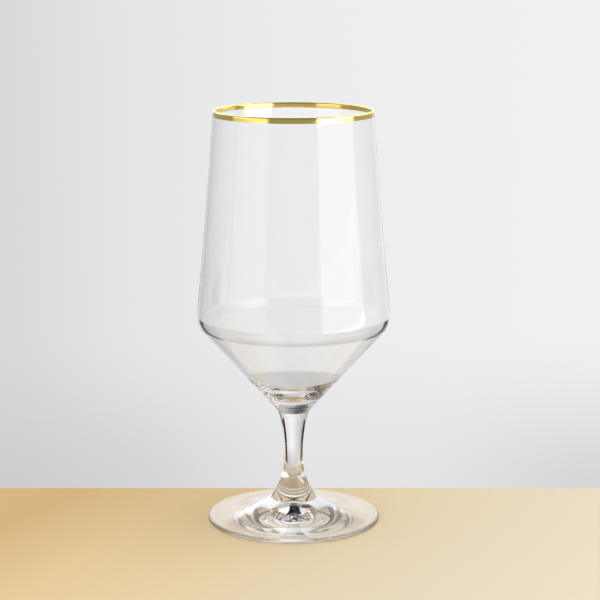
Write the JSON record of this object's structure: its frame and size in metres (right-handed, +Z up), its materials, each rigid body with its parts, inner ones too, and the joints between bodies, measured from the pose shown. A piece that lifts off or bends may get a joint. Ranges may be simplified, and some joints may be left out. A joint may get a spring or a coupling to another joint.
{
  "type": "stemmed cocktail glass",
  "caption": "Clear stemmed cocktail glass: tall bowl that widens to a low shoulder over a cone, short flared stem, round foot and a thin gold band over the lip, for serving mixed drinks.",
  "frame": {"origin": "centre of the foot's rest ring, on the surface that the glass stands on", "axes": "+Z up along the turning axis, from the foot to the lip"},
  "size_m": [0.0862, 0.0862, 0.185],
  "materials": {
    "bowl_glass": "clear polished glass",
    "stem_glass": "clear polished glass",
    "foot_glass": "clear polished glass",
    "fired_gold": "bright fired gold"
  },
  "bodies": {
    "root": {"bowl": "bowl_glass", "stem": "stem_glass", "foot": "foot_glass", "gold_rim": "fired_gold"}
  },
  "joints": []
}
